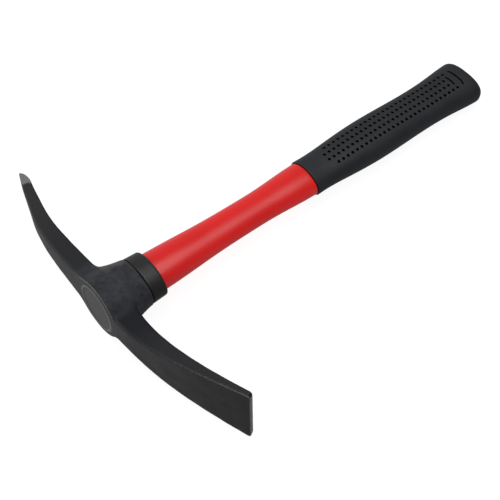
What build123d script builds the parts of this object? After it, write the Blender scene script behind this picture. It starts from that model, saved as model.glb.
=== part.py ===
from build123d import *
import os
from math import cos, pi, sin

# Chipping hammer: a one-piece forged head with a pick on one side and an adze on
# the other, bonded to a jacketed fibreglass handle with a rubber grip.
# Frame: origin at the centre of the eye's outer face, +X down the handle to the
# butt, +Y towards the pick, -Y towards the adze, +Z square to the tool's plane.
# Millimetres.

# ---- overall ----
overall_length = 348.0

# ---- eye and socket of the head, outside: x, half width (Y), half height (Z), squareness ----
socket_length = 33.4
barrel_stations = [
    (0.0, 23.0, 21.8, 2.0),
    (8.0, 25.4, 19.9, 2.0),
    (13.0, 25.3, 18.5, 2.0),
    (19.0, 23.0, 17.1, 2.0),
    (26.0, 20.9, 15.6, 2.0),
    (socket_length, 19.5, 14.2, 2.0),
]
barrel_drops = [1.0, 0.8, 0.4, 0.1, 0.0, 0.0]     # how far each section sits towards -Z

# ---- tapered hole through the eye: widest at the outer face, waisted inside ----
bore_stations = [
    (0.0, 17.8, 18.7, 2.0),
    (18.0, 16.9, 11.9, 2.0),
    (socket_length, 17.2, 11.9, 2.0),
]
bore_drops = [1.5, 0.0, 0.0]

# ---- rounding where the arms grow out of the barrel ----
pick_root_fillet = 2.5
adze_root_fillet = 5.0
root_starts = 5.0             # the edges at each root lie between these distances from the handle's axis
root_ends = 32.0
root_face_clear = 0.5         # and between these along it
root_back = 32.0

# ---- handle core and its red jacket ----
core_radius = 5.5
core_start = 8.0
core_end = 338.0
jacket_start = 8.0
jacket_end = 342.0
grip_start = 182.0
tenon_wall = 2.6          # how far the jacket steps in under the grip

# ---- collar between the socket and the jacket ----
collar_groove = 0.6       # width of the dark line between socket and collar
collar_groove_depth = 1.5
collar_end = 45.6
collar_half_width = 19.3
collar_half_height = 13.8
collar_taper = 0.5
collar_edge_radius = 1.4

# ---- grip: dimples and grooves are the same on the upper and lower faces ----
butt_edge_radius = 6.5
dimple_rows = 4
dimple_count = 28
dimple_pitch = 4.51
dimple_row_spacing = 5.5
dimple_radius = 1.15
dimple_depth = 1.4
dimple_cut_height = 4.0     # tall enough to come out above the surface
first_dimple = 206.5        # along the handle, in the two outer rows
groove_width = 1.5
groove_end_depth = 0.4
grooves = [(329.4, 10.2), (335.2, 18.0)]     # place along the handle and length across it

# Outline points of a closed oval, spread evenly round it
oval_points = 24


def oval(half_width, half_height, squareness=2.0, drop=0.0):
    """Closed oval outline: an ellipse at 2.0 and boxier above that, its centre dropped towards -Z."""
    power = 2.0 / squareness
    points = []
    for step in range(oval_points):
        angle = 2 * pi * step / oval_points
        across = abs(cos(angle)) ** power * (1 if cos(angle) >= 0 else -1)
        up = abs(sin(angle)) ** power * (1 if sin(angle) >= 0 else -1)
        points.append((half_width * across, half_height * up - drop))
    with BuildSketch() as outline:
        with BuildLine():
            Spline(*points, periodic=True)
        make_face()
    return outline.sketch


def oval_loft(stations, drops=None):
    """Smooth body along +X through (x, half width, half height, squareness)."""
    with BuildPart() as body:
        for index, (x, half_width, half_height, squareness) in enumerate(stations):
            with BuildSketch(Plane.YZ.offset(x)):
                add(oval(half_width, half_height, squareness, drops[index] if drops else 0.0))
        loft()
    return body.part


def forged_arm(stations):
    """Arm through rounded sections: (x, y, tilt, thickness, height, corner radius).

    The tilt in degrees turns each section about Z, so that it stays square to the
    arm; thickness is measured across the arm in the tool's plane, height along Z.
    """
    with BuildPart() as arm:
        for x, y, tilt, thickness, height, corner in stations:
            square_to_arm = Plane(origin=(x, y, 0), x_dir=(cos(tilt * pi / 180), sin(tilt * pi / 180), 0),
                                  z_dir=(-sin(tilt * pi / 180), cos(tilt * pi / 180), 0))
            with BuildSketch(square_to_arm):
                RectangleRounded(thickness, height, corner)
        loft()
    return arm.part


# ---- red jacket: half widths and heights along the visible shaft and the tenon ----
jacket_stations = [
    (jacket_start, 13.4, 9.0, 2.0),
    (socket_length, 15.7, 10.6, 2.0),
    (50.0, 15.6, 10.5, 2.0),
    (69.0, 14.8, 9.9, 2.0),
    (92.0, 13.6, 9.0, 2.0),
    (120.0, 13.0, 8.7, 2.0),
    (147.0, 13.3, 8.8, 2.0),
    (170.0, 14.7, 9.6, 2.0),
    (grip_start, 15.1, 9.9, 2.0),
]

# ---- grip: a swell for the fingers, a waist and a flared butt ----
grip_stations = [
    (grip_start, 16.1, 10.8, 2.0),
    (189.0, 15.8, 10.3, 2.1),
    (212.0, 16.7, 10.7, 2.3),
    (240.0, 18.1, 11.4, 2.4),
    (267.0, 17.8, 11.2, 2.4),
    (295.0, 17.3, 10.7, 2.4),
    (318.0, 18.2, 11.1, 2.4),
    (336.0, 19.8, 11.6, 2.4),
    (overall_length - butt_edge_radius, 20.1, 11.7, 2.4),
]

# ---- arms of the head: x, y, tilt, thickness, height, corner radius ----
adze_stations = [
    (9.2, -2.0, 0.0, 18.0, 21.0, 2.6),
    (9.3, -20.0, 1.0, 18.2, 22.6, 2.6),
    (9.2, -32.0, 3.0, 16.0, 24.4, 2.4),
    (10.3, -48.0, 8.0, 13.4, 28.0, 2.0),
    (13.7, -68.0, 13.0, 10.5, 34.8, 1.6),
    (19.5, -90.0, 18.0, 7.4, 42.4, 1.2),
    (26.8, -112.0, 20.0, 5.3, 48.8, 1.0),
    (33.0, -129.0, 21.0, 4.1, 53.0, 0.8),
]
pick_stations = [
    (7.8, 2.0, 0.0, 15.6, 29.0, 2.6),
    (7.2, 20.0, 0.0, 14.6, 27.4, 2.6),
    (7.0, 34.0, 0.0, 14.0, 24.6, 2.4),
    (7.1, 50.0, -2.0, 13.4, 20.4, 2.2),
    (7.9, 68.0, -8.0, 12.2, 16.8, 1.9),
    (10.2, 84.0, -14.0, 10.4, 14.0, 1.6),
    (14.0, 99.0, -17.0, 8.6, 11.4, 1.3),
    (18.0, 114.0, -19.0, 7.3, 8.6, 1.0),
    (24.0, 132.0, -20.0, 5.8, 5.4, 0.8),
]
edge_steps = 6
adze_edge = (31.37, -126.53)
adze_grind_angle = 30.0     # direction of the ground end face, from +X towards +Y
adze_corner_radius = 2.6
adze_width = 51.4
adze_block_length = 150.0
pick_inner_limit = 23.3
pick_tip = (21.1, 129.7)
pick_tip_angle = -38.0      # direction of the small flat across the tip
pick_grind_x = 18.0
pick_grind_start = 118.0
pick_grind_half_height = 3.5
pick_grind_angle = 14.0
pick_grind_skew = 0.36      # the bevel starts a little earlier on the pick's inner side


def rounded_end(start, radius):
    """Stations of a quarter-round edge that closes an oval body, from its last station."""
    x, half_width, half_height, squareness = start
    stations = []
    for step in range(edge_steps + 1):
        angle = pi / 2 * step / edge_steps
        inset = radius * (1 - cos(angle))
        stations.append((x + radius * sin(angle), half_width - inset, half_height - inset, squareness))
    return stations


def direction(angle):
    """Unit vector in the tool's plane at an angle from +X, in degrees."""
    return Vector(cos(angle * pi / 180), sin(angle * pi / 180), 0)


def adze_arm():
    """The arm is cut to a block whose end is the ground face with rounded corners."""
    across_end = Plane(origin=(*adze_edge, 0), x_dir=direction(adze_grind_angle - 90),
                       z_dir=direction(adze_grind_angle))
    with BuildPart() as arm:
        add(forged_arm(adze_stations))
        with BuildSketch(across_end):
            RectangleRounded(2 * adze_block_length, adze_width, adze_corner_radius,
                             align=(Align.MAX, Align.CENTER))
        extrude(amount=adze_block_length, both=True, mode=Mode.INTERSECT)
    return arm.part


def pick_arm():
    tip_cut = Plane(origin=(*pick_tip, 0), x_dir=direction(pick_tip_angle),
                    z_dir=direction(pick_tip_angle + 90))
    with BuildPart() as arm:
        add(forged_arm(pick_stations))
        split(bisect_by=tip_cut, keep=Keep.BOTTOM)
        split(bisect_by=Plane.YZ.offset(pick_inner_limit), keep=Keep.BOTTOM)
        for side in (1, -1):
            lean = pick_grind_angle * pi / 180
            grind = Plane(origin=(pick_grind_x, pick_grind_start, side * pick_grind_half_height),
                          x_dir=(1, -pick_grind_skew, 0),
                          z_dir=(pick_grind_skew * sin(lean), sin(lean), side * cos(lean)))
            split(bisect_by=grind, keep=Keep.BOTTOM)
    return arm.part


def surface_height(x, y):
    """Height of the grip's upper face above the tool's plane."""
    for before, after in zip(grip_stations, grip_stations[1:]):
        if before[0] <= x <= after[0]:
            share = (x - before[0]) / (after[0] - before[0])
            _, half_width, half_height, squareness = [a + share * (b - a) for a, b in zip(before, after)]
            return half_height * (1 - (abs(y) / half_width) ** squareness) ** (1 / squareness)


def dimple_floors():
    """Centre of each dimple's floor on the upper face; the inner rows start one dimple earlier."""
    floors = []
    for row in range(dimple_rows):
        y = (row - (dimple_rows - 1) / 2) * dimple_row_spacing
        first = first_dimple if row in (0, dimple_rows - 1) else first_dimple - dimple_pitch
        for step in range(dimple_count):
            x = first + step * dimple_pitch
            floors.append((x, y, surface_height(x, y) - dimple_depth))
    return floors


eye_bore = oval_loft(bore_stations, bore_drops)
jacket_outside = oval_loft(jacket_stations)
collar_shoulder = (collar_end - collar_edge_radius, collar_half_width - collar_taper,
                   collar_half_height - collar_taper, 2.0)
tenon_stations = [(x, width - tenon_wall, height - tenon_wall, shape)
                  for x, width, height, shape in grip_stations if x < jacket_end]
tenon_stations.append((jacket_end, tenon_stations[-1][1], tenon_stations[-1][2], tenon_stations[-1][3]))
tenon_outside = oval_loft(tenon_stations)

with BuildPart() as head:
    add(oval_loft(barrel_stations, barrel_drops))
    for arm, radius, side in ((pick_arm(), pick_root_fillet, 1), (adze_arm(), adze_root_fillet, -1)):
        add(arm)
        root = [edge for edge in head.edges()
                if root_starts < side * edge.center().Y < root_ends
                and edge.bounding_box().min.X > root_face_clear
                and edge.bounding_box().max.X < root_back]
        fillet(root, radius)
    split(bisect_by=Plane.YZ, keep=Keep.TOP)
    add(eye_bore, mode=Mode.SUBTRACT)
head.part.label = "head"

with BuildPart() as core:
    with BuildSketch(Plane.YZ.offset(core_start)):
        Circle(core_radius)
    extrude(amount=core_end - core_start)
core.part.label = "core"

with BuildPart() as jacket:
    add(jacket_outside)
    add(tenon_outside)
    add(core.part, mode=Mode.SUBTRACT)
jacket.part.label = "jacket"

with BuildPart() as eye_fill:
    add(eye_bore)
    add(jacket_outside, mode=Mode.SUBTRACT)
eye_fill.part.label = "eye_fill"

with BuildPart() as collar:
    with BuildSketch(Plane.YZ.offset(socket_length)):
        add(oval(collar_half_width - collar_groove_depth, collar_half_height - collar_groove_depth))
    extrude(amount=collar_groove)
    add(oval_loft([
        (socket_length + collar_groove, collar_half_width, collar_half_height, 2.0),
        collar_shoulder,
    ]))
    add(oval_loft(rounded_end(collar_shoulder, collar_edge_radius)))
    add(jacket_outside, mode=Mode.SUBTRACT)
collar.part.label = "collar"


with BuildPart() as grip:
    add(oval_loft(grip_stations))
    add(oval_loft(rounded_end(grip_stations[-1], butt_edge_radius)))
    add(tenon_outside, mode=Mode.SUBTRACT)
    for face, into_grip in ((1, Align.MIN), (-1, Align.MAX)):
        with Locations(*[(x, y, face * z) for x, y, z in dimple_floors()]):
            Cylinder(dimple_radius, dimple_cut_height, align=(Align.CENTER, Align.CENTER, into_grip),
                     mode=Mode.SUBTRACT)
        for x, length in grooves:
            floor = surface_height(x, length / 2) - groove_end_depth
            with BuildSketch(Plane.XY.offset(face * floor)):
                with Locations((x, 0)):
                    SlotOverall(length, groove_width, rotation=90)
            extrude(amount=face * dimple_cut_height, mode=Mode.SUBTRACT)
grip.part.label = "grip"

os.makedirs("parts", exist_ok=True)
for piece in (head, core, jacket, eye_fill, collar, grip):
    export_step(piece.part, f"parts/{piece.part.label}.step")
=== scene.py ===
import math

import bpy
import numpy as np
from mathutils import Matrix, Vector


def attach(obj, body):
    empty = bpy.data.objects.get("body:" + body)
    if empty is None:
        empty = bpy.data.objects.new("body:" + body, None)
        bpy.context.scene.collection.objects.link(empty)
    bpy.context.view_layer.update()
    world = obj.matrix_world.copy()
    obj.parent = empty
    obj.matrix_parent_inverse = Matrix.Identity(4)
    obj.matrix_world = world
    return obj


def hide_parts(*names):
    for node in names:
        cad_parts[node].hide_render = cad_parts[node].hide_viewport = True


# Chipping hammer with a forged pick-and-adze head, a red jacketed fibreglass handle
# and a dimpled rubber grip. The frame is the CAD's: origin at the centre of the eye's
# face, +X down the handle to the butt, +Y towards the pick, +Z square to the tool.
# Shapes are worked out in millimetres and written to the meshes in metres.
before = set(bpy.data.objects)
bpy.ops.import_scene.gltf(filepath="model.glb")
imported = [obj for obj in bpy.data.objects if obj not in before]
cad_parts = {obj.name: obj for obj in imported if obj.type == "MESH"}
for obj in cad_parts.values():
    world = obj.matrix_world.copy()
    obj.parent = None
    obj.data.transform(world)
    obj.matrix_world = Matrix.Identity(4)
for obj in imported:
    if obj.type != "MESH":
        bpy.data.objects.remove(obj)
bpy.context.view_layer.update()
millimetre = 0.001

# ---- camera: the photograph's viewing angle, round a point on the handle ----
view_azimuth = math.radians(-40.632)
view_elevation = math.radians(54.022)
view_roll = math.radians(2.426)
focal_ratio = 2.1107          # focal length over sensor width
view_distance = 0.7512
aim = Vector((0.1382, 0, 0))
aim_right = 0.00791           # tangents from the picture's centre to the aim point
aim_up = 0.04037

# ---- floor: a plane that touches the adze's corner, the eye's rim and the butt ----
floor_size = 6.0
adze_corner_rest = (32.1, -122.8, -25.52)
eye_rest = (0.9, 0.8, -22.6)
butt_rest = (341.5, 3.0, -11.75)

# ---- eye, socket and bore of the head: x, half width (Y), half height (Z), drop of the centre ----
socket_length = 33.4
barrel_stations = [
    (0.0, 23.0, 21.8, 1.0),
    (8.0, 25.4, 19.9, 0.8),
    (13.0, 25.3, 18.5, 0.4),
    (19.0, 23.0, 17.1, 0.1),
    (26.0, 20.9, 15.6, 0.0),
    (socket_length, 19.5, 14.2, 0.0),
]
bore_stations = [
    (0.0, 17.8, 18.7, 1.5),
    (18.0, 16.9, 11.9, 0.0),
    (socket_length, 17.2, 11.9, 0.0),
]
eye_ring_inset = 0.35         # the head's ring stands this far behind the resin's bead
eye_ring_round = 0.5
resin_bead = 1.9              # width of the raised bead round the resin's edge
resin_bead_height = 0.4
resin_bead_fullness = 0.8     # below 1 the bead is flatter on top and steeper at its sides
resin_bead_rings = 10
resin_flat_shares = (0.25, 0.5, 0.7)    # rings of the flat face inside the bead
resin_wall_start = 1.2
resin_outer_rings = 24
resin_inner_rings = 12
bore_clearance = 0.03

# ---- arms: x, y, tilt, thickness, height, corner radius ----
adze_stations = [
    (9.2, -2.0, 0.0, 18.0, 21.0, 2.6),
    (9.3, -20.0, 1.0, 18.2, 22.6, 2.6),
    (9.2, -32.0, 3.0, 16.0, 24.4, 2.4),
    (10.3, -48.0, 8.0, 13.4, 28.0, 2.0),
    (13.7, -68.0, 13.0, 10.5, 34.8, 1.6),
    (19.5, -90.0, 18.0, 7.4, 42.4, 1.2),
    (26.8, -112.0, 20.0, 5.3, 48.4, 0.9),
    (33.0, -129.0, 21.0, 3.9, 52.6, 0.7),
]
pick_stations = [
    (7.8, 2.0, 0.0, 15.6, 29.0, 2.6),
    (7.2, 20.0, 0.0, 14.6, 27.4, 2.6),
    (7.0, 34.0, 0.0, 14.0, 24.6, 2.4),
    (7.1, 50.0, -2.0, 13.4, 20.4, 2.2),
    (7.9, 68.0, -8.0, 12.2, 16.8, 1.9),
    (10.2, 84.0, -14.0, 10.4, 14.0, 1.6),
    (14.0, 99.0, -17.0, 8.6, 11.4, 1.3),
    (18.0, 114.0, -19.0, 7.3, 8.6, 1.0),
    (24.0, 132.0, -20.0, 5.8, 5.4, 0.8),
]
adze_edge = (30.85, -125.9)
adze_grind_angle = -60.0      # outward normal of the ground end face, from +X
adze_grind_skew = 0.042       # how far that face leans, so that its lower corner reaches further
adze_half_width = 25.5
adze_corner_radius = 2.6
pick_tip = (21.4, 130.4)
pick_tip_angle = 52.0         # outward normal of the flat across the tip
pick_inner_limit = 23.2
pick_tip_round = 4.0          # how widely the tip's two cuts flow into each other
pick_grind_at = (18.0, 118.0, 3.5)
pick_grind_angle = 14.0
pick_grind_skew = 0.36
pick_blend = 4.0              # how widely each arm flows into the barrel
adze_blend = 3.6
arm_start = 2.0               # each arm begins this far from the handle's axis
arm_table_steps = 50          # for each span between two stations
place_rounds = 3              # of finding the nearest place on an arm's centre line
mouth_round = 0.8             # roundings where surfaces are cut
pick_end_round = 0.7
cut_round = 0.5
forging_wave = 0.05           # height of the forging's gentle unevenness
forging_waves = [             # wave numbers along X, Y and Z, and a phase
    (0.31, 0.11, 0.23, 0.4),
    (-0.12, 0.27, 0.35, 2.1),
    (0.19, -0.38, 0.09, 4.0),
    (0.52, 0.21, -0.47, 1.3),
]
wave_fade_at_adze = 3.0       # the unevenness fades out over this far before the adze's ground end
wave_fade_at_pick = 2.0       # and over this far beyond the pick's bevels

# ---- mesh of the head, and where its paint is worn or ground off ----
head_mesh_step = 0.6
head_mesh_low = (-1.2, -131.5, -28.0)
head_mesh_high = (38.5, 133.0, 28.0)
normal_reach = 0.08           # over this distance the surface's slope is measured
edge_reach = 0.5              # and over this one, how sharp its edges are
least_slope = 0.05            # keeps settle()'s steps short
ground_faces_beyond = 60.0    # ground steel lies further out than this on both arms
bevel_bare = (-0.25, 0.2)     # how near each cut the bare steel starts, and how soon it is full
tip_bare = (-0.5, 0.4)
end_bare = (-0.35, 0.3)
adze_wear_from = 40.0         # edges wear more from here to the adze's end
pick_wear_from = 85.0         # and a little more towards the pick's tip
wear_ramp = 30.0
pick_wear = 0.6
ring_wear_depth = 3.0         # the eye's rim is worn down to this depth
ring_wear_half_width = 25.0
plain_wear = 0.45

# ---- core, jacket, collar and grip; stations: x, half width, half height, squareness ----
core_radius = 5.5
core_start = 8.0
core_end = 338.0
jacket_end = 342.0
grip_start = 182.0
tenon_wall = 2.6
overall_length = 348.0
jacket_stations = [
    (8.0, 13.4, 9.0, 2.0),
    (33.4, 15.7, 10.6, 2.0),
    (50.0, 15.6, 10.5, 2.0),
    (69.0, 14.8, 9.9, 2.0),
    (92.0, 13.6, 9.0, 2.0),
    (120.0, 13.0, 8.7, 2.0),
    (147.0, 13.3, 8.8, 2.0),
    (170.0, 14.7, 9.6, 2.0),
    (182.0, 15.1, 9.9, 2.0),
]
jacket_end_round = 1.5        # the jacket turns in just before the grip
jacket_end_angles = np.linspace(0.3, 1.2, 5)
jacket_rings = 90
jacket_bore_rings_at = (300, 200, 100)
tenon_rings = 40
collar_groove = 0.6
collar_groove_depth = 1.5
collar_end = 45.6
collar_half = (19.3, 13.8)
collar_taper = 0.5
collar_lip = 0.35             # small rounding of its edge beside the groove
collar_edge_radius = 1.4
collar_rings = 8              # inside it, and again on its band
grip_stations = [
    (182.0, 16.1, 10.8, 2.0),
    (189.0, 15.8, 10.3, 2.1),
    (212.0, 16.7, 10.7, 2.3),
    (240.0, 18.1, 11.4, 2.4),
    (267.0, 17.8, 11.2, 2.4),
    (295.0, 17.3, 10.7, 2.4),
    (318.0, 18.2, 11.1, 2.4),
    (336.0, 19.8, 11.6, 2.4),
    (348.0, 20.25, 11.75, 2.4),
]
grip_lip = 0.35               # rounding of the grip's front edge
grip_lip_length = 0.5
butt_edge_radius = 6.5

# ---- dimples and cross grooves of the grip, the same on both broad faces ----
dimple_rows = 4
dimple_columns = 30
dimple_pitch = 4.51
groove_cell = 8.6             # length of the last cells, which hold the cross grooves
dimple_row_spacing = 5.5
dimple_radius = 1.15
dimple_depth = 1.9
first_column = 201.99
groove_half_width = 0.75
groove_depth = 1.5
groove_bow = 0.9              # how far the ends of the grooves curl back
groove_ahead = 0.4            # share of that bow by which a groove's middle lies nearer the butt
groove_curl = 4               # the higher, the nearer to its ends a groove starts to curl
inner_groove_half = 5.1
butt_groove_half = 9.0
hollow_depth = 0.6            # the hollows are painted fully dark below this depth, as painted shade
cell_steps = 6                # mesh divisions along each side of a dimple's cell
side_steps = 22               # and down each narrow side of the grip

# ---- rings of the grip's tube that lie outside the lattice ----
lip_rings = 5
front_rings = 20
front_rings_from = 1.2        # behind the grip's front edge
back_rings = 10
butt_rings = 12
inner_rings = 12              # over the jacket's tenon
butt_cap_shares = (0.8, 0.55, 0.3)

# ---- zones of the head's paint, some of them painted shade or a painted sheen: the range over which each sets in or fades, in metres ----
off_barrel_y = (0.018, 0.028)  # distance from the handle's axis
behind_ring_x = (0.0005, 0.002)
painted_sheen_y = (0.008, 0.018)  # a painted sheen: a warmer, lighter patch on the barrel, where the pick begins
painted_sheen_x = (0.010, 0.016)
root_shade_inner_y = (-0.022, -0.014)  # painted shade: a dark, dull patch where the adze begins
root_shade_outer_y = (-0.06, -0.036)
root_shade_back_x = (0.016, 0.022)
root_shade_front_x = (0.001, 0.003)
broad_face_shade_upward = (0.6, 0.9)  # no length: how squarely the surface faces up or down where painted shade covers the broad faces
towards_pick_y = (0.05, 0.09)
shade_near_adze_edge_y = (-0.12, -0.065)
adze_to_pick_y = (-0.1, 0.1)  # the pick's ground steel is brighter than the adze's


def write_mesh(name, points, faces, normals=None, **attributes):
    """Makes a smooth object from points in millimetres, with its normals and attributes."""
    mesh = bpy.data.meshes.new(name)
    mesh.from_pydata((np.asarray(points) * millimetre).tolist(), [], [list(f) for f in faces])
    mesh.validate()
    mesh.shade_smooth()
    for key, values in attributes.items():
        attribute = mesh.attributes.new(key, "FLOAT", "POINT")
        attribute.data.foreach_set("value", np.asarray(values, np.float32))
    if normals is not None:
        mesh.normals_split_custom_set_from_vertices(normals.tolist())
    piece = bpy.data.objects.new(name, mesh)
    bpy.context.scene.collection.objects.link(piece)
    return piece


def cubic_through(knots, values, at):
    """Natural cubic spline through rows of values, read at the given places."""
    knots = np.asarray(knots, float)
    values = np.asarray(values, float)
    gaps = np.diff(knots)
    slopes = np.diff(values, axis=0) / gaps[:, None]
    count = len(knots)
    system = np.eye(count)
    right = np.zeros_like(values)
    for i in range(1, count - 1):
        system[i, i - 1:i + 2] = gaps[i - 1], 2 * (gaps[i - 1] + gaps[i]), gaps[i]
        right[i] = 6 * (slopes[i] - slopes[i - 1])
    bend = np.linalg.solve(system, right)
    i = np.clip(np.searchsorted(knots, at) - 1, 0, count - 2)
    before = ((knots[i + 1] - at) / gaps[i])[:, None]
    after = 1 - before
    square = (gaps[i] ** 2)[:, None] / 6
    return (before * values[i] + after * values[i + 1]
            + square * ((before ** 3 - before) * bend[i] + (after ** 3 - after) * bend[i + 1]))


def outline_at(stations, at):
    """The values of a body's stations, filled in at places along the handle."""
    return cubic_through([s[0] for s in stations], [s[1:] for s in stations], np.asarray(at, float))


def read_table(x, table_at, table):
    """Three columns of a filled-in table at given places along the handle."""
    return [np.interp(x, table_at, table[:, k]) for k in range(3)]


def fade(value, start, width):
    """Rises from 0 to 1 over the given width."""
    return np.clip((value - start) / width, 0, 1)


# ==== forged head: a distance field turned into a mesh ====

def smooth_min(a, b, reach):
    """The nearer of two distances, rounded where they cross."""
    overlap = np.maximum(reach - np.abs(a - b), 0) / reach
    return np.minimum(a, b) - overlap ** 2 * reach / 4


def smooth_max(a, b, reach):
    return -smooth_min(-a, -b, reach)


def oval_distance(points, half_width, half_height, drop):
    """Distance from a tapering elliptical surface along the X axis, its centre dropped towards -Z."""
    y, z = points[:, 1], points[:, 2] + drop
    first = np.hypot(y / half_width, z / half_height) + 1e-9
    second = np.hypot(y / half_width ** 2, z / half_height ** 2) + 1e-9
    return first * (first - 1) / second


def rounded_corner(past_side, past_top, radius):
    """Distance from two faces that meet in a round, given how far points lie past each of them."""
    side, top = past_side + radius, past_top + radius
    return np.minimum(np.maximum(side, top), 0) + np.hypot(np.maximum(side, 0), np.maximum(top, 0)) - radius


def arm_table(stations):
    """An arm's sections filled in along its length, with the speed of its centre line."""
    knots = np.arange(len(stations))
    at = np.linspace(0, knots[-1], arm_table_steps * knots[-1] + 1)
    rows = cubic_through(knots, stations, at)
    x, y, tilt = rows[:, 0], rows[:, 1], np.radians(rows[:, 2])
    speed = np.gradient(y, at) * np.cos(tilt) - np.gradient(x, at) * np.sin(tilt)
    return at, x, y, tilt, rows[:, 3] / 2, rows[:, 4] / 2, rows[:, 5], speed


def ahead_and_across(points, place, table):
    """How far points lie ahead of places on an arm's centre line, and to its side."""
    at, x, y, tilt = table[:4]
    lean = np.interp(place, at, tilt)
    off_x = points[:, 0] - np.interp(place, at, x)
    off_y = points[:, 1] - np.interp(place, at, y)
    return off_y * np.cos(lean) - off_x * np.sin(lean), off_x * np.cos(lean) + off_y * np.sin(lean)


def arm_distance(points, table):
    """Distance from an arm swept through its rounded sections."""
    at, _, y, _, half_thickness, half_height, corner, speed = table
    rising = np.argsort(y)
    place = np.interp(points[:, 1], y[rising], at[rising])
    for _ in range(place_rounds):
        ahead, _ = ahead_and_across(points, place, table)
        place = np.clip(place + ahead / np.interp(place, at, speed), 0, at[-1])
    _, across = ahead_and_across(points, place, table)
    return rounded_corner(np.abs(across) - np.interp(place, at, half_thickness),
                          np.abs(points[:, 2]) - np.interp(place, at, half_height),
                          np.interp(place, at, corner))


def beyond_plane(points, origin, angle):
    """How far points lie beyond a plane square to the tool, with its normal at an angle from +X."""
    lean = math.radians(angle)
    return (points[:, 0] - origin[0]) * math.cos(lean) + (points[:, 1] - origin[1]) * math.sin(lean)


def adze_end(points):
    """How far points lie beyond the adze's ground end face."""
    return beyond_plane(points, adze_edge, adze_grind_angle) + adze_grind_skew * points[:, 2]


def pick_grind(points):
    """How far points lie above the bevel ground on the pick's upper or lower face."""
    lean = math.radians(pick_grind_angle)
    normal = np.array([pick_grind_skew * math.sin(lean), math.sin(lean), math.cos(lean)])
    folded = np.column_stack([points[:, 0], points[:, 1], np.abs(points[:, 2])])
    return (folded - np.array(pick_grind_at)) @ (normal / np.linalg.norm(normal))


def forging_unevenness(points):
    """Slow waves over the forged surface, like the marks that dies and scale leave."""
    total = sum(np.sin(points @ np.array(wave[:3]) + wave[3]) for wave in forging_waves)
    return forging_wave * total / len(forging_waves) * 2


barrel_table_at = np.linspace(0, socket_length, 60)
barrel_table = outline_at(barrel_stations, barrel_table_at)
bore_table = outline_at(bore_stations, barrel_table_at)
adze_table = arm_table(adze_stations)
pick_table = arm_table(pick_stations)


def bore_distance(points):
    width, height, drop = read_table(points[:, 0], barrel_table_at, bore_table)
    return oval_distance(points, width - bore_clearance, height - bore_clearance, drop)


def barrel_distance(points):
    outside = oval_distance(points, *read_table(points[:, 0], barrel_table_at, barrel_table))
    return smooth_max(outside, points[:, 0] - socket_length, mouth_round)


def pick_distance(points):
    pick = np.maximum(arm_distance(points, pick_table), arm_start - points[:, 1])
    tip = smooth_max(beyond_plane(points, pick_tip, pick_tip_angle),
                     points[:, 0] - pick_inner_limit, pick_tip_round)
    pick = smooth_max(pick, tip, pick_end_round)
    return smooth_max(pick, pick_grind(points), cut_round)


def adze_distance(points):
    adze = np.maximum(arm_distance(points, adze_table), arm_start + points[:, 1])
    past_side = np.abs(points[:, 2]) - adze_half_width
    outline = rounded_corner(adze_end(points), past_side, adze_corner_radius)
    return smooth_max(adze, outline, cut_round)


def head_distance(points):
    """The whole forging: both arms blended into the barrel, cut at the eye's ring and bored."""
    body = smooth_min(barrel_distance(points), pick_distance(points), pick_blend)
    body = smooth_min(body, adze_distance(points), adze_blend)
    as_forged = (fade(-adze_end(points), 0, wave_fade_at_adze)
                 * fade(-pick_grind(points), -wave_fade_at_pick, wave_fade_at_pick))
    body = body + forging_unevenness(points) * as_forged
    body = smooth_max(body, eye_ring_inset - points[:, 0], eye_ring_round)
    return smooth_max(body, -bore_distance(points), cut_round)


def surface_net(distance, low, high, step):
    """Quads round the zero of a distance field: one point in each grid cell that it crosses."""
    axes = [np.arange(low[a], high[a] + step, step) for a in range(3)]
    grid = np.stack(np.meshgrid(*axes, indexing="ij"), -1)
    value = distance(grid.reshape(-1, 3)).reshape(grid.shape[:3])
    inside = value < 0
    unit = np.eye(3, dtype=int)
    quads, crossings = [], []
    for axis in range(3):
        ahead, side, other = unit[axis], unit[(axis + 1) % 3], unit[(axis + 2) % 3]
        first = tuple(slice(0, n - a) for a, n in zip(ahead, value.shape))
        second = tuple(slice(a, n) for a, n in zip(ahead, value.shape))
        cell = np.argwhere(inside[first] != inside[second])
        near = value[tuple(cell.T)]
        far = value[tuple((cell + ahead).T)]
        place = cell + (near / (near - far))[:, None] * ahead
        around = np.stack([cell - side - other, cell - other, cell, cell - side], 1)
        leaving = near < 0
        around[~leaving] = around[~leaving][:, ::-1]
        quads.append(around)
        crossings.append(np.repeat(place[:, None], 4, 1))
    quads = np.concatenate(quads)
    crossings = np.concatenate(crossings).reshape(-1, 3)
    keys = np.ravel_multi_index(quads.reshape(-1, 3).T, value.shape)
    _, corner = np.unique(keys, return_inverse=True)
    corner = corner.ravel()
    count = np.bincount(corner)
    points = np.stack([np.bincount(corner, crossings[:, a]) / count for a in range(3)], 1)
    return np.array(low) + points * step, corner.reshape(-1, 4)


def gradient_and_bend(distance, points, reach):
    """Gradient of a distance field and how sharply its surface bends outwards."""
    gradient = np.empty_like(points)
    total = -6 * distance(points)
    for axis in range(3):
        shift = np.zeros(3)
        shift[axis] = reach
        above, below = distance(points + shift), distance(points - shift)
        gradient[:, axis] = (above - below) / (2 * reach)
        total += above + below
    return gradient, total / reach ** 2


def settle(distance, points, quads, rounds=4):
    """Evens out the mesh along the surface and draws its points onto it."""
    a = quads.ravel()
    b = np.roll(quads, -1, axis=1).ravel()
    ends = np.concatenate([a, b])
    other = np.concatenate([b, a])
    degree = np.bincount(ends)
    for step in range(rounds):
        gradient, _ = gradient_and_bend(distance, points, normal_reach)
        square = np.maximum((gradient ** 2).sum(1), least_slope)
        points = points - gradient * (distance(points) / square)[:, None]
        if step < rounds - 1:
            centre = np.stack([np.bincount(ends, points[other, k]) / degree for k in range(3)], 1)
            move = 0.5 * (centre - points)
            normal = gradient / np.sqrt(square)[:, None]
            points = points + move - normal * (move * normal).sum(1)[:, None]
    return points


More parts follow.
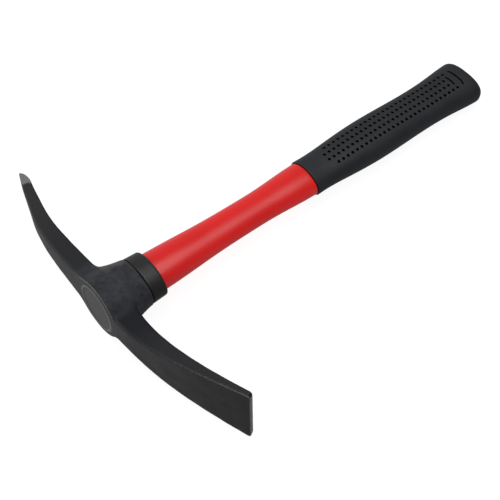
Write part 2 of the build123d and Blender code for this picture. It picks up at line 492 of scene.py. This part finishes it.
def make_head():
    """The pick, the adze and the socket as one forging."""
    points, quads = surface_net(head_distance, head_mesh_low, head_mesh_high, head_mesh_step)
    points = settle(head_distance, points, quads)
    normals, _ = gradient_and_bend(head_distance, points, normal_reach)
    normals /= np.linalg.norm(normals, axis=1)[:, None]
    _, bend = gradient_and_bend(head_distance, points, edge_reach)
    along, across = points[:, 0], points[:, 1]
    bevel = fade(pick_grind(points), *bevel_bare) * (across > ground_faces_beyond)
    tip = fade(beyond_plane(points, pick_tip, pick_tip_angle), *tip_bare) * (across > ground_faces_beyond)
    end = fade(adze_end(points), *end_bare) * (across < -ground_faces_beyond)
    towards_adze = fade(-across, adze_wear_from, wear_ramp)
    towards_tip = fade(across, pick_wear_from, wear_ramp) * pick_wear
    ring_wear = fade(-along, -ring_wear_depth, 1) * (np.abs(across) < ring_wear_half_width)
    wear = np.maximum.reduce([towards_adze, towards_tip, ring_wear, np.full(len(points), plain_wear)])
    return write_mesh("forged_head", points, quads, normals, bare=np.maximum.reduce([end, bevel, tip]),
                      edge=np.clip(bend, 0, 2) * wear)


# ==== oval pieces: rings along the handle ====

ring_points = 128


def on_oval(angle, half_width, half_height, squareness):
    """Places on an oval's outline, which is an ellipse at squareness 2 and boxier above that."""
    power = 2 / squareness
    return (half_width * np.sign(np.cos(angle)) * np.abs(np.cos(angle)) ** power,
            half_height * np.sign(np.sin(angle)) * np.abs(np.sin(angle)) ** power)


def ring(x, half_width, half_height, squareness=2.0):
    """Points round an oval, evenly spread in angle, starting at +Y and turning to +Z."""
    angle = np.linspace(0, 2 * math.pi, ring_points, endpoint=False)
    y, z = on_oval(angle, half_width, half_height, squareness)
    return np.column_stack([np.full(ring_points, x), y, z])


def ring_quads(a, b, count):
    """Quads between two rings of points, whose numbers start at a and b."""
    return [(a + k, a + (k + 1) % count, b + (k + 1) % count, b + k) for k in range(count)]


def ring_body(rings, closed=False):
    """Points and quads through rings in order.

    The ends close onto points, or the last ring joins the first where the body is closed.
    """
    count = len(rings[0])
    points = list(np.concatenate(rings))
    faces = []
    spans = len(rings) if closed else len(rings) - 1
    for i in range(spans):
        faces += ring_quads(i * count, (i + 1) % len(rings) * count, count)
    if not closed:
        for start, flip in ((0, False), ((len(rings) - 1) * count, True)):
            points.append(np.mean(points[start:start + count], axis=0))
            centre = len(points) - 1
            for k in range(count):
                n = (k + 1) % count
                faces.append((start + k, centre, start + n) if not flip else (start + n, centre, start + k))
    return np.array(points), faces


def rings_through(stations, at, inset=0.0):
    return [ring(x, w - inset, h - inset, n) for x, (w, h, n) in zip(at, outline_at(stations, at))]


def rounded_edge(x, half_width, half_height, radius, steps=6):
    """Rings of a quarter round that closes an oval body towards +X."""
    rings = []
    for angle in np.linspace(0, math.pi / 2, steps + 1):
        inset = radius * (1 - math.cos(angle))
        rings.append(ring(x + radius * math.sin(angle), half_width - inset, half_height - inset))
    return rings


def dropped_ring(x, half_width, half_height, drop):
    """A ring whose centre sits a little towards -Z."""
    return ring(x, half_width, half_height) - np.array([0, 0, drop])


def make_eye_fill():
    """Cast resin that locks the handle in the eye: flat inside, with a bead round its edge."""
    width, height, drop = bore_stations[0][1:]
    face = [dropped_ring(resin_bead_height, share * width, share * height, drop)
            for share in resin_flat_shares]
    for inset in np.linspace(resin_bead, 0.0, resin_bead_rings):
        crown = math.sin(math.pi * inset / resin_bead) ** resin_bead_fullness
        x = resin_bead_height * (1 - crown)
        face.append(dropped_ring(x, width - inset, height - inset, drop))
    at = np.linspace(resin_wall_start, socket_length, resin_outer_rings)
    outside = [dropped_ring(x, *row) for x, row in zip(at, outline_at(bore_stations, at))]
    inside = rings_through(jacket_stations, np.linspace(socket_length, core_start, resin_inner_rings))
    points, faces = ring_body(face + outside + inside)
    bead_start = len(resin_flat_shares) * ring_points
    bead_end = bead_start + resin_bead_rings * ring_points
    bead = np.zeros(len(points))
    bead[bead_start:bead_end] = np.repeat(np.sin(np.linspace(0, math.pi, resin_bead_rings)) ** 0.5,
                                          ring_points)
    return write_mesh("eye_resin_fill", points, faces, bead=bead)


def make_jacket():
    """Red sleeve over the core, stepped down where the grip covers it."""
    bore = [ring(x, core_radius, core_radius) for x in (core_end, *jacket_bore_rings_at, core_start)]
    along = np.linspace(core_start, grip_start - jacket_end_round, jacket_rings)
    sleeve = rings_through(jacket_stations, along)
    end = outline_at(jacket_stations, [grip_start])[0]
    for angle in jacket_end_angles:
        inset = jacket_end_round * (1 - math.cos(angle))
        x = grip_start - jacket_end_round * (1 - math.sin(angle))
        sleeve.append(ring(x, end[0] - inset, end[1] - inset))
    along = np.linspace(grip_start, jacket_end, tenon_rings)
    tenon = rings_through(grip_stations, along, tenon_wall)
    points, faces = ring_body(bore + sleeve + tenon)
    return write_mesh("handle_jacket", points, faces)


def make_collar():
    """Ring that seals the socket's mouth, with a narrow groove behind the head and a rounded far edge."""
    groove_end = socket_length + collar_groove
    shoulder = collar_end - collar_edge_radius
    inside = rings_through(jacket_stations, np.linspace(collar_end, socket_length, collar_rings))
    width, height = collar_half

    def collar_ring(x, inset):
        return ring(x, width - inset, height - inset)

    floor = [collar_ring(x, collar_groove_depth) for x in (socket_length, groove_end)]
    band_start = groove_end + collar_lip
    front = [collar_ring(groove_end, collar_lip), collar_ring(groove_end + 0.1, 0.1),
             collar_ring(band_start, 0)]
    band = [collar_ring(band_start + share * (shoulder - groove_end - collar_lip), share * collar_taper)
            for share in np.linspace(0.1, 0.9, collar_rings)]
    edge = rounded_edge(shoulder, width - collar_taper, height - collar_taper, collar_edge_radius)
    points, faces = ring_body(inside + floor + front + band + edge, closed=True)
    return write_mesh("socket_collar", points, faces)


# ==== grip: a tube whose broad faces carry dimple cells ====

lattice_half_width = dimple_rows * dimple_row_spacing / 2
lattice_start = first_column - dimple_pitch / 2
lattice_end = lattice_start + (dimple_columns - 1) * dimple_pitch + groove_cell
butt_start = overall_length - butt_edge_radius
grip_table_at = np.linspace(grip_start, overall_length, 800)
grip_table = outline_at(grip_stations, grip_table_at)


def grip_outline(x):
    """Half width, half height and squareness of the grip, with its lip and its rounded butt."""
    width, height, squareness = read_table(x, grip_table_at, grip_table)
    inset = butt_edge_radius * (1 - np.sqrt(1 - fade(x, butt_start, butt_edge_radius) ** 2))
    lip = grip_lip * np.clip(1 - (x - grip_start) / grip_lip_length, 0, 1) ** 2
    return width - inset - lip, height - inset - lip, squareness


def grip_height(x, y):
    """Height of the grip's broad face above the tool's plane."""
    width, height, squareness = grip_outline(x)
    return height * (1 - np.clip(np.abs(y) / width, 0, 1) ** squareness) ** (1 / squareness)


def column_places(x):
    """Places across the broad face that every row of the tube shares, squeezed at its two ends."""
    columns = np.linspace(lattice_half_width, -lattice_half_width, dimple_rows * cell_steps + 1)
    if lattice_start <= x <= lattice_end:
        return columns
    nearest = lattice_start if x < lattice_start else lattice_end
    return columns * (grip_outline(x)[0] / grip_outline(nearest)[0])


def side_places(x, edge):
    """Points down one narrow side, from the broad face's edge at +Z to the one at -Z."""
    width, height, squareness = grip_outline(x)
    start = math.acos((edge / width) ** (squareness / 2))
    angle = np.linspace(start, -start, side_steps + 1)[1:-1]
    return on_oval(angle, width, height, squareness)


def grip_ring(x):
    """One ring of the tube, from the +Y edge of the upper face, across it and round."""
    columns = column_places(x)
    top = grip_height(x, columns)
    side_y, side_z = side_places(x, columns[0])
    y = np.concatenate([columns, -side_y, columns[::-1], side_y[::-1]])
    z = np.concatenate([top, side_z, -top[::-1], side_z[::-1]])
    return np.column_stack([np.full(len(y), x), y, z])


def lattice_cells():
    """Every cell of the lattice: (first column, first row, rows, spine half length, bow, radius, depth).

    The outer rows leave their first cell plain. One groove takes the place of the two inner
    rows' last dimples, and the other one lies beyond the dimples, across all rows.
    """
    cells = []
    last = dimple_columns - 1
    for column in range(last):
        for row in range(dimple_rows):
            outer = row in (0, dimple_rows - 1)
            if column == last - 1 and not outer:
                continue
            radius = 0.0 if column == 0 and outer else dimple_radius
            cells.append((column, row, 1, 0.0, 0.0, radius, dimple_depth))
    cells.append((last - 1, 1, dimple_rows - 2, inner_groove_half - groove_half_width, groove_bow / 2,
                  groove_half_width, groove_depth))
    cells.append((last, 0, dimple_rows, butt_groove_half - groove_half_width, groove_bow,
                  groove_half_width, groove_depth))
    return cells


def cell_boundary(x0, x1, y0, y1, rows):
    """Points round a cell, counter-clockwise seen from +Z, at the lattice's own divisions."""
    along = np.linspace(x0, x1, cell_steps + 1)
    across = np.linspace(y0, y1, rows * cell_steps + 1)
    return np.array([(x, y0) for x in along[:-1]] + [(x1, y) for y in across[:-1]]
                    + [(x, y1) for x in along[:0:-1]] + [(x0, y) for y in across[:0:-1]])


def hollow_profile(radius):
    """A hollow from its rounded rim to its floor: (distance from its spine, share of its depth)."""
    if not radius:
        return [(1.5, 0.0), (0.8, 0.0), (0.0, 0.0)]
    return [(radius + 0.3, 0.0), (radius + 0.14, 0.01), (radius + 0.05, 0.05), (radius - 0.01, 0.16),
            (radius - 0.04, 0.45), (radius - 0.08, 0.8), (0.6 * radius, 0.97), (0.0, 1.0)]


def dimpled_face(side):
    """Points and faces of one broad face's lattice, cut by dimples and grooves; side is 1 or -1."""
    points, faces, hollow = [], [], []
    for column, row, rows, spine, bow, radius, depth in lattice_cells():
        x0 = lattice_start + column * dimple_pitch
        y0 = -lattice_half_width + row * dimple_row_spacing
        x1 = x0 + (groove_cell if column == dimple_columns - 1 else dimple_pitch)
        y1 = y0 + rows * dimple_row_spacing
        boundary = cell_boundary(x0, x1, y0, y1, rows)
        centre = np.array([(x0 + x1) / 2, (y0 + y1) / 2])
        along_spine = np.clip(boundary[:, 1] - centre[1], -spine, spine)
        curl = bow * (groove_ahead - np.abs(along_spine / max(spine, 1e-9)) ** groove_curl)
        on_spine = np.column_stack([centre[0] + curl, centre[1] + along_spine])
        out = boundary - on_spine
        reach = np.hypot(out[:, 0], out[:, 1])
        out = out / reach[:, None]
        profile = hollow_profile(radius)
        rings = [(boundary, 0.0), ((boundary + on_spine + out * profile[0][0]) / 2, 0.0)]
        rings += [(on_spine + out * distance, share * depth) for distance, share in profile]
        start = len(points)
        count = len(boundary)
        for flat, drop in rings:
            height = grip_height(flat[:, 0], flat[:, 1]) - drop
            points += [(x, y, side * z) for (x, y), z in zip(flat, height)]
            # how deep each point lies, for the painted shade in the hollows
            hollow += [min(drop / hollow_depth, 1.0)] * count
        for level in range(len(rings) - 1):
            quads = ring_quads(start + level * count, start + (level + 1) * count, count)
            faces += quads if side > 0 else [quad[::-1] for quad in quads]
    return points, faces, hollow


def weld(points, faces, tolerance=1e-4):
    """Joins points that lie together and drops faces that collapse and points that no face uses."""
    keys = np.round(np.asarray(points) / tolerance).astype(np.int64)
    _, first, where = np.unique(keys, axis=0, return_index=True, return_inverse=True)
    where = where.ravel()
    kept = []
    for face in faces:
        corners = [int(where[i]) for i in face]
        corners = [c for i, c in enumerate(corners) if c != corners[i - 1]]
        if len(corners) > 2:
            kept.append(corners)
    used = np.unique([c for corners in kept for c in corners])
    place = np.zeros(len(first), int)
    place[used] = np.arange(len(used))
    faces = [[int(place[c]) for c in corners] for corners in kept]
    return np.asarray(points)[first[used]], faces, first[used]


def make_grip():
    """Rubber grip over the jacket's tenon."""
    dimple_steps = (dimple_columns - 1) * cell_steps
    lattice_rows = [lattice_start + i * dimple_pitch / cell_steps for i in range(dimple_steps)]
    lattice_rows += [lattice_end - groove_cell + i * groove_cell / cell_steps
                     for i in range(cell_steps + 1)]
    before = [grip_start + grip_lip_length * (1 - math.cos(math.pi / 2 * i / lip_rings))
              for i in range(lip_rings + 1)]
    before += list(np.linspace(grip_start + front_rings_from, lattice_start, front_rings, endpoint=False))
    after = list(np.linspace(lattice_end, butt_start, back_rings, endpoint=False))[1:]
    after += [butt_start + butt_edge_radius * math.sin(math.pi / 2 * i / butt_rings)
              for i in range(butt_rings + 1)]
    outer = [grip_ring(x) for x in before + lattice_rows + after]
    tenon = []
    for x in np.linspace(jacket_end, grip_start, inner_rings):
        width, height, _ = grip_outline(min(x, butt_start))
        pattern = grip_ring(min(max(x, grip_start + 1), butt_start))
        shrink = np.array([(width - tenon_wall) / width, (height - tenon_wall) / height])
        tenon.append(np.column_stack([np.full(len(pattern), x), pattern[:, 1:] * shrink]))
    face = outer[-1]
    centre = face.mean(axis=0)
    cap = [centre + (face - centre) * np.array([1, share, share]) for share in butt_cap_shares]
    points, faces = ring_body(tenon + outer + cap)
    count = len(face)
    columns = dimple_rows * cell_steps
    first_row = len(tenon) + len(before)
    last_row = first_row + len(lattice_rows) - 1
    lower_start = columns + side_steps
    kept = []
    for index, quad in enumerate(faces):
        row, k = divmod(index, count)
        in_rows = first_row <= row < last_row
        in_columns = k < columns or lower_start <= k < lower_start + columns
        if not (in_rows and in_columns):
            kept.append(quad)
    points = list(points)
    hollow = [0.0] * len(points)
    for side in (1, -1):
        more_points, more_faces, more_hollow = dimpled_face(side)
        hollow += more_hollow
        offset = len(points)
        points += more_points
        kept += [tuple(i + offset for i in f) for f in more_faces]
    points, kept, first = weld(points, kept)
    return write_mesh("rubber_grip", points, kept, hollow=np.array(hollow)[first])


# ==== materials ====

def set_inputs(tree, target, values):
    """Sets a node's inputs to values, or links them to other nodes' outputs."""
    for key, value in values.items():
        if isinstance(value, bpy.types.NodeSocket):
            tree.links.new(value, target.inputs[key])
        else:
            target.inputs[key].default_value = value


def node(tree, kind, inputs=None, **settings):
    """Adds a shader node, with its settings and its input values or links."""
    made = tree.nodes.new(kind)
    for key, value in settings.items():
        setattr(made, key, value)
    set_inputs(tree, made, inputs or {})
    return made


def new_material(name):
    made = bpy.data.materials.new(name)
    made.use_nodes = True
    tree = made.node_tree
    return made, tree, node(tree, "ShaderNodeTexCoord").outputs["Object"]


def noise(tree, coordinates, size, detail=3.0, roughness=0.55, stretch=None):
    """Noise whose features are about this many millimetres across."""
    if stretch:
        coordinates = node(tree, "ShaderNodeMapping", {"Vector": coordinates, "Scale": stretch}).outputs[0]
    return node(tree, "ShaderNodeTexNoise", {"Vector": coordinates, "Scale": 1000 / size, "Detail": detail,
                                             "Roughness": roughness}).outputs["Fac"]


def remap(tree, value, low, high, to_low=0.0, to_high=1.0):
    return node(tree, "ShaderNodeMapRange", {"Value": value, "From Min": low, "From Max": high,
                                             "To Min": to_low, "To Max": to_high}).outputs["Result"]


def vary(tree, value, low=0.0, high=1.0):
    """Follows a noise, whose values mostly lie between 0.3 and 0.7, from low to high."""
    return remap(tree, value, 0.3, 0.7, low, high)


def math_node(tree, operation, a, b):
    return node(tree, "ShaderNodeMath", {0: a, 1: b}, operation=operation).outputs[0]


def product(tree, first, *others):
    for other in others:
        first = math_node(tree, "MULTIPLY", first, other)
    return first


def absolute(tree, value):
    return node(tree, "ShaderNodeMath", {0: value}, operation="ABSOLUTE").outputs[0]


def mesh_value(tree, name):
    """A value that write_mesh stored at the mesh's points."""
    return node(tree, "ShaderNodeAttribute", attribute_name=name).outputs["Fac"]


def mix_colour(tree, share, a, b):
    return node(tree, "ShaderNodeMix", {0: share, 6: a, 7: b}, data_type="RGBA").outputs[2]


def mix_value(tree, share, a, b):
    return node(tree, "ShaderNodeMix", {0: share, 2: a, 3: b}, data_type="FLOAT").outputs[0]


def bump(tree, height, depth):
    """Bump of this depth in millimetres."""
    return node(tree, "ShaderNodeBump", {"Height": height, "Distance": depth * millimetre,
                                         "Strength": 1.0}).outputs["Normal"]


def grey(value, tint=(1.0, 1.0, 1.0)):
    return tuple(value * t for t in tint) + (1.0,)


def finish_material(made, **values):
    """Sets or links the shader's inputs; underscores stand for the spaces in their names."""
    tree = made.node_tree
    set_inputs(tree, tree.nodes["Principled BSDF"],
               {key.replace("_", " "): value for key, value in values.items()})
    return made


def head_zones(tree, at):
    """Places along the head, and how much of each zone's paint is there; some zones carry painted shade or
    a painted sheen.
    """
    place = node(tree, "ShaderNodeSeparateXYZ", {0: at})
    x, y = place.outputs["X"], place.outputs["Y"]
    off_axis = absolute(tree, y)
    on_barrel = product(tree, remap(tree, off_axis, *off_barrel_y, 1, 0), remap(tree, x, *behind_ring_x))
    # painted sheen on the barrel, where the pick begins
    painted_sheen_by_pick = product(tree, remap(tree, y, *painted_sheen_y), remap(tree, x, *painted_sheen_x))
    # painted shade where the adze begins
    adze_root_shade = product(tree, remap(tree, y, *root_shade_inner_y, 1, 0), remap(tree, y, *root_shade_outer_y),
                        remap(tree, x, *root_shade_back_x, 1, 0), remap(tree, x, *root_shade_front_x))
    # painted shade by the way a face points: the arms' faces that point up or down
    normal = node(tree, "ShaderNodeNewGeometry").outputs["Normal"]
    upward = absolute(tree, node(tree, "ShaderNodeSeparateXYZ", {0: normal}).outputs["Z"])
    broad_face_shade = product(tree, remap(tree, upward, *broad_face_shade_upward, 0, 0.9),
                         remap(tree, off_axis, *off_barrel_y))
    return y, on_barrel, painted_sheen_by_pick, adze_root_shade, broad_face_shade


def head_paint():
    """Black stoved paint on a forging: orange peel, worn through on edges, ground steel at both tips, with
    painted shade at the adze's root, on the arms' broad faces and towards the adze's end, and a painted
    sheen on the barrel by the pick.
    """
    made, tree, at = new_material("forged_black_paint")
    y, on_barrel, painted_sheen_by_pick, adze_root_shade, broad_face_shade = head_zones(tree, at)
    patches = noise(tree, at, 14, 4)
    scale = noise(tree, at, 5, 4, 0.6)
    specks = noise(tree, at, 1.6, 4, 0.7)
    grain = noise(tree, at, 0.9, 3, 0.6)
    streaks = noise(tree, at, 0.7, 3, 0.6, (3.0, 0.35, 1.0))

    worn = remap(tree, product(tree, mesh_value(tree, "edge"), specks), 0.32, 0.7, 0.0, 0.6)
    ragged = math_node(tree, "ADD", mesh_value(tree, "bare"), vary(tree, specks, -0.35, 0.35))
    steel_share = math_node(tree, "MAXIMUM", worn, remap(tree, ragged, 0.35, 0.65))

    paint = mix_colour(tree, remap(tree, patches, 0.35, 0.65),
                       grey(0.004, (1.0, 1.0, 1.15)), grey(0.013, (1.0, 1.0, 1.1)))
    barrel_paint_and_sheen = mix_colour(tree, remap(tree, scale, 0.35, 0.65),
                        grey(0.010, (0.84, 0.94, 1.35)), grey(0.028, (0.92, 0.97, 1.2)))
    # painted sheen: a warm, lighter grey on the barrel by the pick stands in for a reflection
    sheen_share = product(tree, painted_sheen_by_pick, remap(tree, scale, 0.4, 0.6, 0.3, 1))
    barrel_paint_and_sheen = mix_colour(tree, sheen_share, barrel_paint_and_sheen, grey(0.06, (1.08, 1.03, 0.95)))
    paint = mix_colour(tree, on_barrel, paint, barrel_paint_and_sheen)
    # painted shade: a darker, bluish grey where the adze meets the barrel; its shine is also cut at the
    # specular level below
    paint = mix_colour(tree, product(tree, adze_root_shade, 0.9), paint, grey(0.007, (0.82, 0.96, 1.5)))
    # painted shade on the arms' broad faces, set by which way they point: dark and bluish towards the adze,
    # plain grey towards the pick
    broad_face_shade_paint = mix_colour(tree, remap(tree, y, *towards_pick_y),
                            grey(0.0045, (0.82, 0.96, 1.6)), grey(0.0125))
    paint = mix_colour(tree, broad_face_shade, paint, broad_face_shade_paint)
    # painted shade: the paint darkens towards the adze's end
    shade_near_adze_edge = remap(tree, y, *shade_near_adze_edge_y, 0.8, 0)
    paint = mix_colour(tree, shade_near_adze_edge, paint, grey(0.002, (0.95, 1.0, 1.1)))
    paint = mix_colour(tree, remap(tree, specks, 0.64, 0.76, 0, 0.5), paint, grey(0.05))

    steel = mix_colour(tree, streaks, grey(0.112, (1.0, 0.98, 0.95)), grey(0.19, (1.0, 0.98, 0.96)))
    steel = mix_colour(tree, remap(tree, y, *adze_to_pick_y, 0, 0.3), steel, grey(0.36, (1.0, 0.96, 0.93)))
    height = math_node(tree, "ADD", product(tree, grain, 0.35), patches)
    return finish_material(made, Base_Color=mix_colour(tree, steel_share, paint, steel),
                           Metallic=mix_value(tree, steel_share, 0.0, 0.6),
                           Roughness=mix_value(tree, steel_share, vary(tree, grain, 0.5, 0.6),
                                               vary(tree, streaks, 0.38, 0.55)),
                           Specular_IOR_Level=mix_value(tree, adze_root_shade, 0.34, 0.19),
                           Normal=bump(tree, height, 0.11))


def resin():
    """Grey casting resin with fine filler and faint flow marks, and a painted highlight along its bead."""
    made, tree, at = new_material("eye_resin")
    filler = noise(tree, at, 0.7, 4, 0.7)
    flow = noise(tree, at, 7, 3)
    colour = mix_colour(tree, vary(tree, flow), grey(0.026), grey(0.033, (1.02, 1.0, 0.98)))
    colour = mix_colour(tree, remap(tree, filler, 0.6, 0.75, 0, 0.5), colour, grey(0.08))
    # painted highlight: the crown of the bead round the resin's edge is lighter
    colour = mix_colour(tree, product(tree, mesh_value(tree, "bead"), 0.9), colour, grey(0.1))
    return finish_material(made, Base_Color=colour, Roughness=vary(tree, filler, 0.5, 0.68),
                           Normal=bump(tree, math_node(tree, "ADD", filler, flow), 0.05))


def fibreglass():
    """Glass rovings in pale resin, running along the rod."""
    made, tree, at = new_material("fibreglass_core")
    fibres = noise(tree, at, 0.6, 4, 0.65, (0.04, 1.0, 1.0))
    colour = mix_colour(tree, fibres, (0.55, 0.5, 0.33, 1.0), (0.78, 0.74, 0.58, 1.0))
    return finish_material(made, Base_Color=colour, Roughness=vary(tree, fibres, 0.3, 0.5),
                           Normal=bump(tree, fibres, 0.05))


def red_plastic():
    """Glossy red moulding with slight flow streaks, orange peel and scuffs."""
    made, tree, at = new_material("red_jacket_plastic")
    flow = noise(tree, at, 16, 3, 0.5, (0.25, 1.0, 1.0))
    peel = noise(tree, at, 2.2, 2, 0.5)
    scuffs = noise(tree, at, 1.1, 5, 0.7, (0.5, 1.0, 1.0))
    colour = mix_colour(tree, vary(tree, flow), (0.6, 0.003, 0.003, 1), (0.68, 0.005, 0.004, 1))
    roughness = math_node(tree, "ADD", vary(tree, flow, 0.27, 0.34),
                          remap(tree, scuffs, 0.55, 0.8, 0.0, 0.12))
    height = math_node(tree, "ADD", peel, product(tree, scuffs, 0.25))
    return finish_material(made, Base_Color=colour, Roughness=roughness,
                           Normal=bump(tree, height, 0.02))


def black_plastic():
    """Moulded black collar with a fine spark-eroded texture."""
    made, tree, at = new_material("black_collar_plastic")
    spark = noise(tree, at, 0.5, 4, 0.7)
    flow = noise(tree, at, 9, 3)
    colour = mix_colour(tree, vary(tree, flow),
                        grey(0.004, (0.98, 1.0, 1.1)), grey(0.009, (0.98, 1.0, 1.05)))
    return finish_material(made, Base_Color=colour, Roughness=vary(tree, spark, 0.38, 0.52),
                           Specular_IOR_Level=0.41, Normal=bump(tree, spark, 0.03))


def grip_rubber():
    """Matte black rubber with a fine grain, handling shine and a trace of dust, and painted shade in its
    dimples and grooves.
    """
    made, tree, at = new_material("black_grip_rubber")
    grain = noise(tree, at, 0.45, 4, 0.7)
    handling = noise(tree, at, 22, 3)
    dust = noise(tree, at, 1.3, 5, 0.75)
    colour = mix_colour(tree, vary(tree, handling),
                        grey(0.007, (0.8, 1.0, 1.4)), grey(0.011, (0.85, 1.0, 1.3)))
    colour = mix_colour(tree, remap(tree, dust, 0.62, 0.8, 0, 0.3), colour, grey(0.035))
    hollow = mesh_value(tree, "hollow")
    # painted shade: the dimples and grooves darken with depth and lose their shine
    colour = mix_colour(tree, hollow, colour, grey(0.001))
    return finish_material(made, Base_Color=colour, Roughness=vary(tree, handling, 0.5, 0.62),
                           Specular_IOR_Level=mix_value(tree, hollow, 0.4, 0.05),
                           Normal=bump(tree, grain, 0.035))


def floor_paper():
    """Studio paper that glows white, so the tool's shadow on it stays faint, with a slight tooth."""
    made, tree, at = new_material("studio_paper")
    tooth = noise(tree, at, 3, 3)
    return finish_material(made, Base_Color=mix_colour(tree, tooth, grey(0.1), grey(0.12)),
                           Roughness=0.85, Emission_Color=grey(1), Emission_Strength=floor_glow)


# ==== scene ====

floor_glow = 0.93
sky_below = 0.30              # the studio's brightness below, at and above eye level
sky_level = 0.33
sky_above = 0.25
sky_below_from = -0.6         # heights of a direction where its brightness stops changing
sky_above_from = 0.8
bright_side = (-0.5, 0.86, 0.0)    # the studio is a little brighter on this side
bright_side_turn = (0.15, 0.6)     # how far a direction turns that way before it is brighter
bright_lift = 0.3
key_power = 11.0
key_size = 1.15
key_place = (0.14, -0.02, 1.25)
side_power = 3.5
side_size = 0.9
side_place = (-0.75, 0.62, 0.42)
side_aim = (0.1, 0.0, 0.0)


def make_camera():
    """The photograph's camera, looking at the aim point a little off the picture's centre."""
    back = Vector((math.sin(view_azimuth) * math.cos(view_elevation),
                   -math.cos(view_azimuth) * math.cos(view_elevation), math.sin(view_elevation)))
    level = Vector((math.cos(view_azimuth), math.sin(view_azimuth), 0))
    rise = back.cross(level)
    right = level * math.cos(view_roll) + rise * math.sin(view_roll)
    up = rise * math.cos(view_roll) - level * math.sin(view_roll)
    place = aim + view_distance * (back - aim_right * right - aim_up * up)
    data = bpy.data.cameras.new("camera")
    data.sensor_width = 36
    data.lens = focal_ratio * data.sensor_width
    data.clip_start = 0.01
    camera = bpy.data.objects.new("camera", data)
    bpy.context.scene.collection.objects.link(camera)
    camera.matrix_world = Matrix((
        (right.x, up.x, back.x, place.x),
        (right.y, up.y, back.y, place.y),
        (right.z, up.z, back.z, place.z),
        (0, 0, 0, 1)))
    bpy.context.scene.camera = camera


def make_floor():
    """A wide flat sheet under the tool's three contacts."""
    origin = Vector(eye_rest) * millimetre
    to_adze = Vector(adze_corner_rest) * millimetre - origin
    to_butt = Vector(butt_rest) * millimetre - origin
    normal = to_adze.cross(to_butt).normalized()
    if normal.z < 0:
        normal.negate()
    half = floor_size / 2
    corners = []
    for x, y in ((-half, -half), (half, -half), (half, half), (-half, half)):
        height = origin.z - (normal.x * (x - origin.x) + normal.y * (y - origin.y)) / normal.z
        corners.append((x / millimetre, y / millimetre, height / millimetre))
    floor = write_mesh("floor", corners, [(0, 1, 2, 3)])
    floor.data.materials.append(floor_paper())
    floor.visible_glossy = False


def softbox(name, place, target, size, power):
    light = bpy.data.lights.new(name, "AREA")
    light.shape = "DISK"
    light.size = size
    light.energy = power
    lamp = bpy.data.objects.new(name, light)
    lamp.location = place
    lamp.rotation_euler = (Vector(target) - Vector(place)).to_track_quat("-Z", "Y").to_euler()
    bpy.context.scene.collection.objects.link(lamp)


def make_lights():
    world = bpy.data.worlds.new("studio")
    world.use_nodes = True
    tree = world.node_tree
    direction = node(tree, "ShaderNodeTexCoord").outputs["Generated"]
    up = node(tree, "ShaderNodeSeparateXYZ", {0: direction}).outputs["Z"]
    lower = remap(tree, up, sky_below_from, 0.0, sky_below, sky_level)
    rise = remap(tree, up, 0.0, sky_above_from, 0.0, sky_above - sky_level)
    facing = node(tree, "ShaderNodeVectorMath", {0: direction, 1: bright_side},
                  operation="DOT_PRODUCT").outputs["Value"]
    lift = remap(tree, facing, *bright_side_turn, 0.0, bright_lift)
    tree.links.new(math_node(tree, "ADD", math_node(tree, "ADD", lower, rise), lift),
                   tree.nodes["Background"].inputs["Strength"])
    tree.nodes["Background"].inputs["Color"].default_value = (1, 1, 1, 1)
    bpy.context.scene.world = world
    softbox("key", key_place, (key_place[0], key_place[1], 0.0), key_size, key_power)
    softbox("side", side_place, side_aim, side_size, side_power)


def dress(piece, material, slot, *nodes):
    """Gives a piece its material and puts it in the place of its CAD nodes."""
    piece.data.materials.append(material)
    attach(piece, "root")
    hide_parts(*nodes)


make_camera()
make_lights()
make_floor()
dress(make_head(), head_paint(), "head_paint", "head")
dress(make_eye_fill(), resin(), "eye_resin", "eye_fill")
dress(make_jacket(), red_plastic(), "red_plastic", "jacket")
dress(make_collar(), black_plastic(), "black_plastic", "collar")
dress(make_grip(), grip_rubber(), "grip_rubber", "grip")
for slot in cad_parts["core"].material_slots:
    slot.material = fibreglass()
bpy.context.scene.view_settings.view_transform = "Standard"
